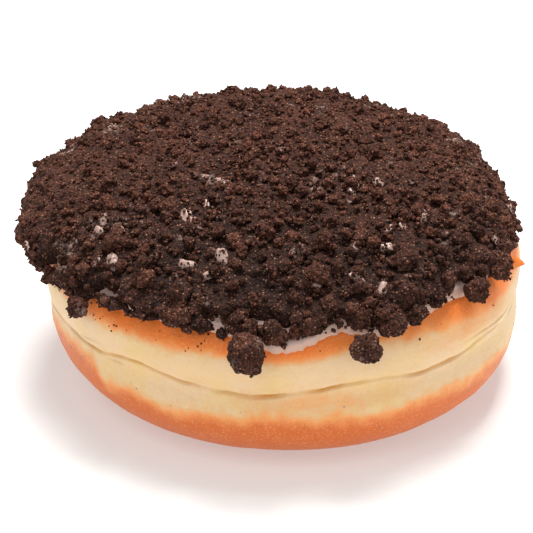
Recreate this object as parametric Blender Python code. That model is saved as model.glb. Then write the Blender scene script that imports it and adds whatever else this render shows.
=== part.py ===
"""A round filled yeast doughnut, iced on top and rolled in crushed chocolate cookie.

The dough is a puffed round with a flat spot to rest on, a rolled crease about halfway up and a
rounded crown. The icing and the crumb topping are shells that follow the crown, each at its own
distance from the dough, so the layers nest and never cross. The largest cookie chunks stick out at
the rim as pieces of their own.

Metres, +Z up, front towards -Y. The origin is the middle of the flat spot that it rests on.
A turn round the doughnut is measured from the front towards +X."""

import math

import bmesh
import bpy
from mathutils import Matrix, Vector, noise

# Driving dimensions of the dough.
BASE_RADIUS = 0.0260
BELLY_RADIUS = 0.0446
BELLY_HEIGHT = 0.0127
SHOULDER_RADIUS = 0.0455
SHOULDER_HEIGHT = 0.0240
DOUGH_HEIGHT = 0.0383
BASE_FULLNESS = 2.1
CROWN_FULLNESS = 2.5
CROWN_LEAN = -0.0018  # how far the crown's middle sits to one side of the base

# The crease where the two fried halves meet, and the gentle waist round it.
CREASE_HEIGHT = 0.0184
CREASE_DEPTH = 0.0013
CREASE_HALF_WIDTH = 0.0012
CREASE_WANDER = 0.0009
WAIST_DEPTH = 0.0007
WAIST_HALF_WIDTH = 0.0050

# The layers over the crown. LAYER_GAP keeps neighbouring solids apart.
LAYER_GAP = 0.0003
ICING_THICKNESS = 0.0011
ICING_LIP = 0.55  # the share of its thickness that the icing keeps at its edge
ICING_EDGE = math.radians(13)
ICING_EDGE_WANDER = math.radians(6)
CRUMB_EDGE_ABOVE_ICING = math.radians(8)
CRUMB_EDGE_WANDER = math.radians(6)

# The crumb heap's own dome, which overhangs the dough and lies a little to one side and the back.
HEAP_RADIUS = 0.0480
HEAP_RIM_HEIGHT = 0.0314
HEAP_TOP_HEIGHT = 0.0443
HEAP_FULLNESS = 2.5
HEAP_DRIFT = (-0.0027, 0.0011)
HEAP_THINNEST = 0.0012
HEAP_LUMPS = 0.0011
HEAP_LUMP_SIZE = 0.0085
SMALL_LUMP_RATIO = 2.3  # the smaller lumps are this many times finer, and half as high

# How finely the round faces are cut.
SEGMENTS = 60
BASE_RINGS = 5
SIDE_RINGS = 9
CROWN_RINGS = 10
RING_CROWDING = 1.5  # above 1, the side's rings gather towards the crease
SMOOTH_UP_TO = math.radians(50)  # faces that meet at less than this are shaded as one

# How uneven each edge is, as waves round the doughnut, and the seed of each one's own pattern.
OUTLINE_WANDER = 0.010  # as a share of the radius
OUTLINE_WAVES, OUTLINE_SEED = 1.2, 3.0
CREASE_WAVES, CREASE_SEED = 1.6, 8.0
DRIP_WAVES, DRIP_SEED, DRIP_SHARE = 3.0, 5.0, 0.7
RIPPLE_WAVES, RIPPLE_SEED = 9.0, 6.0
RAGGED_WAVES, RAGGED_SEED, RAGGED_LOWEST = 7.0, 12.0, -0.5

# Each chunk: its turn round the rim in degrees, its height on the crown in degrees, and its width,
# height and depth in millimetres.
CHUNKS = (
    (-7, 10, 7.6, 8.8, 6.2),
    (18, 11, 5.8, 6.2, 5.0),
    (25, 17, 6.0, 5.2, 5.0),
    (50, 18, 5.0, 5.6, 4.6),
    (61, 20, 5.4, 6.4, 4.8),
    (128, 14, 6.6, 5.8, 5.2),
    (171, 12, 5.6, 6.8, 5.0),
    (216, 18, 7.2, 6.0, 5.4),
    (250, 12, 5.2, 6.0, 4.8),
    (-49, 12, 4.0, 4.8, 4.0),
    (-23, 22, 5.8, 6.4, 4.8),
)
CHUNK_ROUGHNESS = 0.16
CHUNK_LUMPS = 1.6  # lumps across a chunk's half width
CHUNK_SEED_STEP = Vector((3.7, 1.9, 0.0))  # from one chunk's pattern to the next
CHUNK_SUBDIVISIONS = 2
CHUNK_CLEARANCE = 0.88  # how far out its middle sits, as a share of half its depth
CHUNK_BREAK = 0.72  # a broken side lies this share of the chunk's half width from its middle

MILLIMETRE = 0.001

DOUGH_COLOUR = (0.84, 0.59, 0.32, 1.0)
ICING_COLOUR = (0.80, 0.72, 0.69, 1.0)
CRUMB_COLOUR = (0.045, 0.022, 0.015, 1.0)


def clear_scene():
    for item in list(bpy.data.objects):
        bpy.data.objects.remove(item)


def make_material(name, colour, roughness):
    material = bpy.data.materials.new(name)
    material.use_nodes = True
    shader = material.node_tree.nodes["Principled BSDF"]
    shader.inputs["Base Color"].default_value = colour
    shader.inputs["Roughness"].default_value = roughness
    shader.inputs["Metallic"].default_value = 0.0
    return material


def round_noise(turn, waves, seed):
    """A smooth value from about -1 to 1 that comes back to itself after a full turn."""
    return noise.noise(Vector((waves * math.cos(turn), waves * math.sin(turn), seed)))


def bump(distance):
    """1 at 0, falling smoothly to 0 at a distance of 1 or more either way."""
    return math.cos(min(abs(distance), 1.0) * math.pi / 2) ** 2


def base_point(angle):
    """The dough's underside, from the flat spot's edge at 0 to the belly at a right angle."""
    power = 2 / BASE_FULLNESS
    radius = BASE_RADIUS + (BELLY_RADIUS - BASE_RADIUS) * math.sin(angle) ** power
    height = BELLY_HEIGHT * (1 - math.cos(angle) ** power)
    return radius, height


def side_point(share):
    """The dough's side, from the belly at 0 to the shoulder at 1."""
    height = BELLY_HEIGHT + (SHOULDER_HEIGHT - BELLY_HEIGHT) * share
    radius = BELLY_RADIUS + (SHOULDER_RADIUS - BELLY_RADIUS) * share
    return radius - WAIST_DEPTH * bump((height - CREASE_HEIGHT) / WAIST_HALF_WIDTH), height


def crown_point(angle):
    """The dough's crown, from the shoulder at 0 to the middle of the top at a right angle."""
    power = 2 / CROWN_FULLNESS
    radius = SHOULDER_RADIUS * max(math.cos(angle), 0.0) ** power
    height = SHOULDER_HEIGHT + (DOUGH_HEIGHT - SHOULDER_HEIGHT) * math.sin(angle) ** power
    return radius, height


def crown_normal(angle):
    """The way out of the crown, as a share outwards and a share upwards."""
    step = 1e-3
    low = crown_point(max(angle - step, 0.0))
    high = crown_point(min(angle + step, math.pi / 2))
    along = Vector((high[0] - low[0], high[1] - low[1])).normalized()
    return along.y, -along.x


def placed(turn, radius, height):
    """A point of the doughnut, with the uneven outline and the lean of its crown."""
    outline = 1 + OUTLINE_WANDER * round_noise(turn, OUTLINE_WAVES, OUTLINE_SEED)
    up = min(max((height - BELLY_HEIGHT) / (DOUGH_HEIGHT - BELLY_HEIGHT), 0.0), 1.0)
    lean = CROWN_LEAN * up * up * (3 - 2 * up)
    return Vector(
        (radius * outline * math.sin(turn) + lean, -radius * outline * math.cos(turn), height)
    )


def turns():
    return [2 * math.pi * i / SEGMENTS for i in range(SEGMENTS)]


def closed_skin(name, rows, material):
    """One closed body from rows of points that run from one pole to the other, outwards side first.

    The first and the last row hold one point, and every other row goes once round the doughnut."""
    shape = bmesh.new()
    rings = [[shape.verts.new(point) for point in row] for row in rows]
    for upper, lower in zip(rings, rings[1:]):
        for i in range(SEGMENTS):
            j = (i + 1) % SEGMENTS
            if len(upper) == 1:
                shape.faces.new((upper[0], lower[i], lower[j]))
            elif len(lower) == 1:
                shape.faces.new((upper[i], lower[0], upper[j]))
            else:
                shape.faces.new((upper[i], lower[i], lower[j], upper[j]))
    return finish_mesh(name, shape, material)


def finish_mesh(name, shape, material):
    bmesh.ops.recalc_face_normals(shape, faces=shape.faces)
    mesh = bpy.data.meshes.new(name)
    shape.to_mesh(mesh)
    shape.free()
    mesh.shade_smooth()
    mesh.set_sharp_from_angle(angle=SMOOTH_UP_TO)
    mesh.materials.append(material)
    item = bpy.data.objects.new(name, mesh)
    bpy.context.scene.collection.objects.link(item)
    return item


def crease_height(turn):
    return CREASE_HEIGHT + CREASE_WANDER * round_noise(turn, CREASE_WAVES, CREASE_SEED)


def dough_rows():
    rows = [[placed(0.0, 0.0, DOUGH_HEIGHT)]]
    for i in range(CROWN_RINGS - 1, 0, -1):
        radius, height = crown_point(math.pi / 2 * i / CROWN_RINGS)
        rows.append([placed(turn, radius, height) for turn in turns()])
    for i in range(SIDE_RINGS, 0, -1):
        row = []
        for turn in turns():
            # The rings crowd towards the crease, so that its groove has rings of its own.
            spread = 2 * i / SIDE_RINGS - 1
            share = 0.5 + 0.5 * math.copysign(abs(spread) ** RING_CROWDING, spread)
            radius, height = side_point(share)
            height += (crease_height(turn) - CREASE_HEIGHT) * bump(spread)
            groove = bump((height - crease_height(turn)) / CREASE_HALF_WIDTH)
            row.append(placed(turn, radius - CREASE_DEPTH * groove, height))
        rows.append(row)
    for i in range(BASE_RINGS, -1, -1):
        radius, height = base_point(math.pi / 2 * i / BASE_RINGS)
        rows.append([placed(turn, radius, height) for turn in turns()])
    rows.append([Vector((0.0, 0.0, 0.0))])
    return rows


def icing_edge(turn):
    """How far up the crown the icing stops, as an angle."""
    drips = round_noise(turn, DRIP_WAVES, DRIP_SEED)
    ripples = round_noise(turn, RIPPLE_WAVES, RIPPLE_SEED)
    return ICING_EDGE + ICING_EDGE_WANDER * (DRIP_SHARE * drips + (1 - DRIP_SHARE) * ripples)


def crumb_edge(turn):
    """How far up the crown the crumbs stop, always a little above the icing's own edge."""
    ragged = max(round_noise(turn, RAGGED_WAVES, RAGGED_SEED), RAGGED_LOWEST)
    return icing_edge(turn) + CRUMB_EDGE_ABOVE_ICING + CRUMB_EDGE_WANDER * ragged


def offset_point(turn, angle, distance):
    """A point at a distance from the dough's crown, straight out of it."""
    radius, height = crown_point(angle)
    return placed(turn, radius, height) + crown_way_out(turn, angle) * distance


def crown_way_out(turn, angle):
    outwards, upwards = crown_normal(angle)
    return Vector((math.sin(turn) * outwards, -math.cos(turn) * outwards, upwards))


def heap_point(turn, share, least):
    """The crumb heap's lumpy outside. least is the nearest that it may lie to the dough there."""
    angle, power = share * math.pi / 2, 2 / HEAP_FULLNESS
    radius = HEAP_RADIUS * max(math.cos(angle), 0.0) ** power
    height = HEAP_RIM_HEIGHT + (HEAP_TOP_HEIGHT - HEAP_RIM_HEIGHT) * math.sin(angle) ** power
    sideways, backwards = HEAP_DRIFT
    across, along = radius * math.sin(turn), -radius * math.cos(turn)
    point = Vector((across + sideways, along + backwards, height))
    grid = point / HEAP_LUMP_SIZE
    lumps = noise.noise(grid) + 0.5 * noise.noise(grid * SMALL_LUMP_RATIO)
    middle = Vector((0.0, 0.0, BELLY_HEIGHT))
    point += (point - middle).normalized() * HEAP_LUMPS * lumps
    on_dough, way_out = least
    short = HEAP_THINNEST - (point - on_dough).dot(way_out)
    return point + way_out * max(short, 0.0)


def shell_rows(edge_of, inside, outside_point):
    """Rows for a shell over the crown: down its outer side, round its edge and up its inner side.

    inside is the inner side's distance from the dough, and outside_point(turn, angle, share) gives
    the outer side, with share running from 0 at the edge to 1 in the middle of the top."""
    quarter = math.pi / 2
    outer = [[outside_point(0.0, quarter, 1.0)]]
    inner = [[offset_point(0.0, quarter, inside)]]
    for i in range(CROWN_RINGS - 1, -1, -1):
        share = i / CROWN_RINGS
        angles = [edge_of(turn) + (quarter - edge_of(turn)) * share for turn in turns()]
        around = list(zip(turns(), angles))
        outer.append([outside_point(turn, angle, share) for turn, angle in around])
        inner.append([offset_point(turn, angle, inside) for turn, angle in around])
    return outer + inner[::-1]


def icing_rows():
    def outside_point(turn, angle, share):
        thickness = ICING_THICKNESS if share else ICING_THICKNESS * ICING_LIP
        return offset_point(turn, angle, LAYER_GAP + thickness)

    return shell_rows(icing_edge, LAYER_GAP, outside_point)


def heap_rows():
    inside = LAYER_GAP + ICING_THICKNESS + LAYER_GAP

    def outside_point(turn, angle, share):
        return heap_point(turn, share, (offset_point(turn, angle, inside), crown_way_out(turn, angle)))

    return shell_rows(crumb_edge, inside, outside_point)


def make_chunk(number, spec, material):
    """One broken lump of cookie at the rim, and the slightly larger cutter that clears its place."""
    turn, angle, width, height, depth = spec
    turn, angle = math.radians(turn), math.radians(angle)
    half = Vector((width, depth, height)) * MILLIMETRE / 2
    shape = bmesh.new()
    bmesh.ops.create_icosphere(shape, subdivisions=CHUNK_SUBDIVISIONS, radius=1.0)
    seed = CHUNK_SEED_STEP * number
    for vert in shape.verts:
        vert.co *= 1 + CHUNK_ROUGHNESS * noise.noise(vert.co * CHUNK_LUMPS + seed)
        vert.co.z = max(vert.co.z, -CHUNK_BREAK) if number % 2 else min(vert.co.z, CHUNK_BREAK)
        vert.co = Vector((vert.co.x * half.x, vert.co.y * half.y, vert.co.z * half.z))
    outwards, upwards = crown_normal(angle)
    reach = 2 * LAYER_GAP + ICING_THICKNESS + half.y * CHUNK_CLEARANCE
    place = offset_point(turn, angle, reach)
    tilt = math.atan2(upwards, outwards)
    pose = Matrix.Translation(place) @ Matrix.Rotation(turn, 4, "Z")
    pose @= Matrix.Rotation(-tilt, 4, "X")
    bmesh.ops.transform(shape, matrix=pose, verts=shape.verts)
    cutter_shape = shape.copy()
    grow = 1 + 2 * LAYER_GAP / min(half)
    for vert in cutter_shape.verts:
        vert.co = place + (vert.co - place) * grow
    cutter = finish_mesh(f"clearance_{number}", cutter_shape, material)
    cutter.hide_render = True
    cutter.display_type = "WIRE"
    return finish_mesh(f"cookie_chunk_{number}", shape, material), cutter


def main():
    clear_scene()
    dough_material = make_material("fried_dough", DOUGH_COLOUR, 0.5)
    icing_material = make_material("white_icing", ICING_COLOUR, 0.3)
    crumb_material = make_material("cookie_crumb", CRUMB_COLOUR, 0.85)

    closed_skin("dough", dough_rows(), dough_material)
    closed_skin("icing", icing_rows(), icing_material)
    topping = closed_skin("crumb_topping", heap_rows(), crumb_material)
    for number, spec in enumerate(CHUNKS, start=1):
        _, cutter = make_chunk(number, spec, crumb_material)
        cut = topping.modifiers.new(cutter.name, "BOOLEAN")
        cut.operation = "DIFFERENCE"
        cut.object = cutter


main()
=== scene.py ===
import math

import bpy
import numpy as np
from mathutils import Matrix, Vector, noise


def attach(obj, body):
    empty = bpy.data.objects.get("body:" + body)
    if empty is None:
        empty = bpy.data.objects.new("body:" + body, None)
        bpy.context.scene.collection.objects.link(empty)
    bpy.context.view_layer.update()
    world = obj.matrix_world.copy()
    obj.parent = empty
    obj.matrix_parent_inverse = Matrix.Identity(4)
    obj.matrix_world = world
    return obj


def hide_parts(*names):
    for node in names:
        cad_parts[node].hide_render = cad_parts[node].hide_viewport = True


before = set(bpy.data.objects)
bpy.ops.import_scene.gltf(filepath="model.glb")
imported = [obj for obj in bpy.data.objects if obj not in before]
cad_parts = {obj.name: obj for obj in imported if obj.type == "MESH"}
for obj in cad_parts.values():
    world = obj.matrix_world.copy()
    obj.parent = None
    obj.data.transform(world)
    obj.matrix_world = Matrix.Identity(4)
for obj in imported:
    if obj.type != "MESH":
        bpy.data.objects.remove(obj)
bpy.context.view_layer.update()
print("frame loaded")

mm = 0.001
fullTurn = 2 * math.pi
weld = 0.01 * mm  # points nearer than this are one point


# camera and light
view = {
    "elevation": 28,  # degrees above the table
    "distance": 0.52,
    "lens": 184, "sensor": 36, "nearest": 0.01,
    "target": (-0.0035, 0.0, 0.0208),
}


def placeCamera():
    tilt = math.radians(view["elevation"])
    back = Vector((0, -math.cos(tilt), math.sin(tilt)))
    target = Vector(view["target"])
    bpy.ops.object.camera_add(location=target + back * view["distance"])
    camera = bpy.context.object
    camera.name = "camera"
    camera.rotation_mode = "QUATERNION"
    camera.rotation_quaternion = (-back).to_track_quat("-Z", "Y")
    camera.data.lens = view["lens"]
    camera.data.sensor_width = view["sensor"]
    camera.data.clip_start = view["nearest"]
    bpy.context.scene.camera = camera


studio = {
    "keyLight": {"place": (-0.35, -0.62, 0.80), "size": 0.60, "power": 2.6},
    "fillLight": {"place": (0.70, -0.45, 0.45), "size": 0.70, "power": 1.3},
    "topLight": {"place": (0.05, 0.22, 0.95), "size": 0.50, "power": 16.8},
    "sky": 0.28,
    "floor": "CDCDCC", "floorSize": 6.0, "floorGlow": 0.62,
}


def hexColour(code):
    # an sRGB hex colour as linear light
    shares = [int(code[i:i + 2], 16) / 255 for i in (0, 2, 4)]
    light = [c / 12.92 if c <= 0.04045 else ((c + 0.055) / 1.055) ** 2.4 for c in shares]
    return (*light, 1.0)


def addNode(material, kind, settings=None, links=None):
    # one node with its settings, and its inputs joined to other nodes' outputs
    node = material.node_tree.nodes.new("ShaderNode" + kind)
    for name, value in (settings or {}).items():
        if name == "stops":
            ramp = node.color_ramp
            while len(ramp.elements) < len(value):
                ramp.elements.new(0.5)
            for element, (place, code) in zip(ramp.elements, value):
                element.position = place
                element.color = hexColour(code)
        elif isinstance(name, int) or name in node.inputs:
            node.inputs[name].default_value = value
        else:
            setattr(node, name, value)
    for name, source in (links or {}).items():
        if isinstance(source, bpy.types.Node):
            # a node stands for its first output in use
            source = next(output for output in source.outputs if output.enabled)
        material.node_tree.links.new(source, node.inputs[name])
    return node


def scaledNode(material, source, times, plus):
    return addNode(material, "Math", {"operation": "MULTIPLY_ADD", 1: times, 2: plus}, {0: source})


def timesNode(material, first, second):
    return addNode(material, "Math", {"operation": "MULTIPLY"}, {0: first, 1: second})


def rangedNode(material, value, low, high, most=1.0, least=0.0):
    settings = {"From Min": low, "From Max": high, "To Min": least, "To Max": most}
    return addNode(material, "MapRange", settings, {"Value": value})


def tintedNode(material, under, share, code):
    # a colour laid over another, as thickly as the share says
    settings = {"data_type": "RGBA", 7: hexColour(code)}
    return addNode(material, "Mix", settings, {0: share, 6: under})


def paintedNode(material, name):
    return addNode(material, "Attribute", {"attribute_name": name}).outputs["Fac"]


def noiseNode(material, place, scale, detail, roughness=0.5):
    settings = {"Scale": scale, "Detail": detail, "Roughness": roughness}
    return addNode(material, "TexNoise", settings, {"Vector": place})


def newMaterial(name):
    material = bpy.data.materials.new(name)
    material.use_nodes = True
    material.node_tree.nodes.clear()
    return material


def lightStudio():
    for name in ("keyLight", "fillLight", "topLight"):
        lamp = studio[name]
        bpy.ops.object.light_add(type="AREA", location=lamp["place"])
        light = bpy.context.object
        light.name = name
        light.data.size = lamp["size"]
        light.data.energy = lamp["power"]
        aim = Vector(view["target"]) - Vector(lamp["place"])
        light.rotation_mode = "QUATERNION"
        light.rotation_quaternion = aim.to_track_quat("-Z", "Y")
    world = bpy.data.worlds.new("studioSky")
    world.use_nodes = True
    sky = world.node_tree.nodes["Background"]
    sky.inputs["Color"].default_value = (1, 1, 1, 1)
    sky.inputs["Strength"].default_value = studio["sky"]
    bpy.context.scene.world = world
    bpy.context.scene.view_settings.view_transform = "Standard"


def layFloor():
    bpy.ops.mesh.primitive_plane_add(size=studio["floorSize"], location=(0, 0, 0))
    floor = bpy.context.object
    floor.name = "studioFloor"
    paper = newMaterial("backlitStudioPaper")  # flat white paper over a light box: soft, pale shadows
    shader = addNode(paper, "BsdfPrincipled", {
        "Base Color": hexColour(studio["floor"]),
        "Emission Color": hexColour(studio["floor"]),
        "Emission Strength": studio["floorGlow"],
        "Roughness": 0.9,
        "Specular IOR Level": 0.1,
    })
    addNode(paper, "OutputMaterial", links={"Surface": shader})
    floor.data.materials.append(paper)


placeCamera()
lightStudio()
layFloor()
print("camera, light and floor ready")


# small tools for shaping
def readPoints(piece):
    flat = np.empty(len(piece.data.vertices) * 3)
    piece.data.vertices.foreach_get("co", flat)
    return flat.reshape(-1, 3)


def writePoints(piece, points):
    piece.data.vertices.foreach_set("co", points.ravel())
    piece.data.update()


def paintPoints(piece, name, values):
    layer = piece.data.attributes.new(name, "FLOAT", "POINT")
    layer.data.foreach_set("value", np.asarray(values, np.float32))


def noiseAt(points, size, seed=0.0):
    # smooth noise, about -1 to 1, with bumps of that size
    grid = points / size + seed
    return np.array([noise.noise(Vector(spot)) for spot in grid])


def cellsAt(points, size, seed):
    # distance to the nearest grain's middle, as a share of the grain size
    grid = points / size + seed
    return np.array([noise.voronoi(Vector(spot))[0][0] for spot in grid])


def ringNoise(turn, waves, seed):
    # noise that comes back to itself after a full turn
    ring = np.stack([waves * np.cos(turn), waves * np.sin(turn), np.full_like(turn, seed)], 1)
    return noiseAt(ring, 1.0)


def swell(distance):
    # 1 at 0, falling smoothly to 0 at 1 and beyond, either way
    return np.cos(np.clip(np.abs(distance), 0, 1) * math.pi / 2) ** 2


def wander(turn, spec):
    # a sum of wavers round the doughnut: each is its waves, its seed and its height
    return sum(height * ringNoise(turn, waves, seed) for waves, seed, height in spec)


def ease(low, high, value):
    share = np.clip((value - low) / (high - low), 0, 1)
    return share * share * (3 - 2 * share)


def turnGap(turn, degrees):
    # how many degrees a turn is from a given one, the short way round
    return (np.degrees(turn) - degrees + 180) % 360 - 180


def offFront(turn):
    return np.abs(turnGap(turn, 0))


def turnOf(points):
    return np.arctan2(points[:, 0], -points[:, 1])


def bends(turn, spec):
    # a sum of soft swells round the doughnut: each is its turn, its half width and its height
    return sum(height * swell(turnGap(turn, at) / width) for at, width, height in spec)


def choose(*pieces):
    # the pieces are selected alone, and the first is the active one
    bpy.ops.object.select_all(action="DESELECT")
    for piece in pieces:
        piece.select_set(True)
    bpy.context.view_layer.objects.active = pieces[0]


def unit(ways):
    return ways / np.linalg.norm(ways, axis=1).reshape(-1, 1)


def spinOutline(name, outline, steps):
    # one point is drawn out along the outline, which is then spun once round
    bpy.ops.mesh.primitive_plane_add(size=mm, location=(0, 0, 0))
    piece = bpy.context.object
    piece.name = piece.data.name = name
    bpy.ops.object.mode_set(mode="EDIT")
    bpy.ops.mesh.merge(type="CENTER")
    bpy.ops.transform.translate(value=(outline[0][0], 0, outline[0][1]))
    for (fromRadius, fromHeight), (radius, height) in zip(outline, outline[1:]):
        step = (radius - fromRadius, 0, height - fromHeight)
        bpy.ops.mesh.extrude_vertices_move(TRANSFORM_OT_translate={"value": step})
    bpy.ops.mesh.select_all(action="SELECT")
    bpy.ops.mesh.spin(steps=steps, angle=fullTurn, center=(0, 0, 0), axis=(0, 0, 1))
    bpy.ops.mesh.select_all(action="SELECT")
    bpy.ops.mesh.remove_doubles(threshold=weld)
    bpy.ops.mesh.normals_make_consistent(inside=False)
    bpy.ops.object.mode_set(mode="OBJECT")
    return piece


def pressBlocky(piece, share):
    # pressed a little towards a block, as broken cookie is
    bpy.ops.object.modifier_add(type="CAST")
    change = piece.modifiers[-1]
    change.cast_type = "CUBOID"
    change.factor = share
    bpy.ops.object.modifier_apply(modifier=change.name)


def roughen(piece, kind, size, height):
    # a Displace modifier with a procedural texture, applied
    texture = bpy.data.textures.new(piece.name + kind.title(), kind)
    texture.noise_scale = size
    if kind == "VORONOI":
        texture.distance_metric = "DISTANCE_SQUARED"
    choose(piece)
    bpy.ops.object.modifier_add(type="DISPLACE")
    change = piece.modifiers[-1]
    change.texture = texture
    change.texture_coords = "GLOBAL"
    change.strength = height
    change.mid_level = 0.5 if kind == "CLOUDS" else 0.2  # Voronoi cells are mostly dark
    bpy.ops.object.modifier_apply(modifier=change.name)


def finishPiece(piece, material, replaced=()):
    piece.data.materials.clear()
    piece.data.materials.append(material)
    choose(piece)
    bpy.ops.object.shade_smooth()
    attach(piece, "root")
    if replaced:
        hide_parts(*replaced)
    print(piece.name, "done:", len(piece.data.polygons), "faces")


# dough
dough = {
    "baseRadius": 26.0 * mm, "baseFullness": 2.1,
    "bellyRadius": 44.6 * mm, "bellyHeight": 12.7 * mm,
    "shoulderRadius": 45.5 * mm, "shoulderHeight": 24.0 * mm,
    "top": 38.3 * mm, "crownFullness": 2.5, "crownLean": -1.8 * mm,
    "middle": 18.0 * mm,  # the swellings stand out from here
    "waistHeight": 18.4 * mm, "waistDepth": 0.7 * mm, "waistHalfWidth": 5.0 * mm,
    "outlineWander": 0.010, "outlineWaves": 1.2,
    "creaseHeight": 19.3 * mm, "creaseDepth": 0.85 * mm, "creaseHalfWidth": 0.55 * mm,
    "creaseAbove": 0.6, "creaseBelow": 1.7,  # how much narrower and wider it is on either side
    # turn in degrees, half width in degrees, rise in metres
    "creaseBends": ((-35, 14, 1.6 * mm), (-8, 14, -1.2 * mm), (20, 18, 0.9 * mm), (58, 16, 1.4 * mm)),
    # waves round the doughnut, seed, height
    "creaseWander": ((5.0, 8.0, 0.5 * mm), (17.0, 12.0, 0.22 * mm)),
    "creaseOpen": 0.68, "creaseVaries": 1.0, "creaseLeast": 0.35, "creaseMost": 1.2,
    "creaseFades": ((68, 26, 0.75),),
    "lipAbove": 1.1 * mm, "lipHalfWidth": 1.5 * mm, "lipHeight": 0.12 * mm,
    # hollows: turn, half width in degrees, height, half height, climb for each degree, depth
    "hollows": (
        (0, math.inf, 5.0 * mm, 13.0 * mm, 0.0, 0.525 * mm),  # draws in towards the base, all round
        (-60, 75, 5.0 * mm, 13.0 * mm, 0.0, 0.975 * mm),  # draws in under the left side
        (-88, 45, 26.0 * mm, 9.0 * mm, 0.0, 1.2 * mm),  # the left shoulder sits back
        (-54, 12, 20.56 * mm, 0.7 * mm, 0.16 * mm, 0.30 * mm),  # a fold at the left front
        (-43, 4.5, 18.65 * mm, 0.35 * mm, 0.05 * mm, 0.28 * mm),  # a short wrinkle
        (77, 2.4, 27.2 * mm, 1.0 * mm, 0.0, -2.3 * mm),  # a ragged flake that stands out
    ),
    "secondCrease": 22.2 * mm, "secondBends": ((66, 16, -0.7 * mm),), "secondTurn": 60,
    "secondReach": 20, "secondDepth": 0.35 * mm, "secondHalfWidth": 0.7 * mm,
    "crackTurn": -38.5, "crackSlope": 0.4 / mm, "crackReach": 0.7, "crackDepth": 0.22 * mm,
    "crackHeight": 18.5 * mm, "crackMiddle": 18.3 * mm, "crackHalfHeight": 1.4 * mm,
    # size, seed, height: swellings of a proved dough, coarse to fine
    "swellings": ((14 * mm, 3.0, 0.40 * mm), (5 * mm, 7.0, 0.13 * mm)),
    "crepeSize": 1.7 * mm, "crepeFlatness": 1.6, "crepeHeight": 0.055 * mm,
    "flatUpTo": 0.2 * mm, "fullFrom": 3.0 * mm,  # the swellings start above the resting spot
    "icingEdge": 18.5,  # degrees up the crown
    "icingDips": ((1, 15, -8.5), (27, 15, -5.0), (-22, 10, 1.0), (62, 20, 2.0)),
    "icingWander": ((3.0, 5.0, 2.2), (9.0, 6.0, 1.0)),
    "crownSteps": 46, "sideSteps": 62, "baseSteps": 38, "turns": 480,
}


def crownOutline(angle):
    power = 2 / dough["crownFullness"]
    rise = dough["top"] - dough["shoulderHeight"]
    radius = dough["shoulderRadius"] * np.maximum(np.cos(angle), 0) ** power
    return radius, dough["shoulderHeight"] + rise * np.maximum(np.sin(angle), 0) ** power


def crownPoints(angles, raised=0.0):
    return [(float(radius), float(height) + raised) for radius, height in map(crownOutline, angles)]


def settle(turn, radius, height):
    # a point of the doughnut, with its uneven outline and the lean of its crown
    reach = radius * (1 + dough["outlineWander"] * ringNoise(turn, dough["outlineWaves"], 3.0))
    lean = dough["crownLean"] * ease(dough["bellyHeight"], dough["top"], height)
    return np.stack([reach * np.sin(turn) + lean, -reach * np.cos(turn), height], 1)


def crownWayOut(turn, angle):
    step = 0.001
    lowRadius, lowHeight = crownOutline(np.maximum(angle - step, 0))
    highRadius, highHeight = crownOutline(np.minimum(angle + step, math.pi / 2))
    across, up = highHeight - lowHeight, lowRadius - highRadius
    length = np.hypot(across, up)
    across, up = across / length, up / length
    return np.stack([np.sin(turn) * across, -np.cos(turn) * across, up], 1)


def overCrown(turn, angle, distance):
    # a point at a distance from the dough's crown, straight out of it
    radius, height = crownOutline(angle)
    return settle(turn, radius, height) + crownWayOut(turn, angle) * np.asarray(distance).reshape(-1, 1)


def icingEdgeAngle(turn):
    edge = dough["icingEdge"] + bends(turn, dough["icingDips"]) + wander(turn, dough["icingWander"])
    return np.radians(edge)


def doughOutline():
    outline = crownPoints(np.linspace(math.pi / 2, 0, dough["crownSteps"])[:-1])
    outline[0] = (0.0, dough["top"])
    rise = dough["shoulderHeight"] - dough["bellyHeight"]
    spread = dough["shoulderRadius"] - dough["bellyRadius"]
    for share in np.linspace(1, 0, dough["sideSteps"])[:-1]:
        height = dough["bellyHeight"] + rise * share
        radius = dough["bellyRadius"] + spread * share
        waist = swell((height - dough["waistHeight"]) / dough["waistHalfWidth"])
        outline.append((float(radius - dough["waistDepth"] * waist), float(height)))
    power = 2 / dough["baseFullness"]
    reach = dough["bellyRadius"] - dough["baseRadius"]
    for angle in np.linspace(math.pi / 2, 0, dough["baseSteps"]):
        radius = dough["baseRadius"] + reach * math.sin(angle) ** power
        outline.append((radius, dough["bellyHeight"] * (1 - math.cos(angle) ** power)))
    outline.append((dough["baseRadius"] * 0.5, 0.0))
    outline.append((0.0, 0.0))
    return outline


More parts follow.
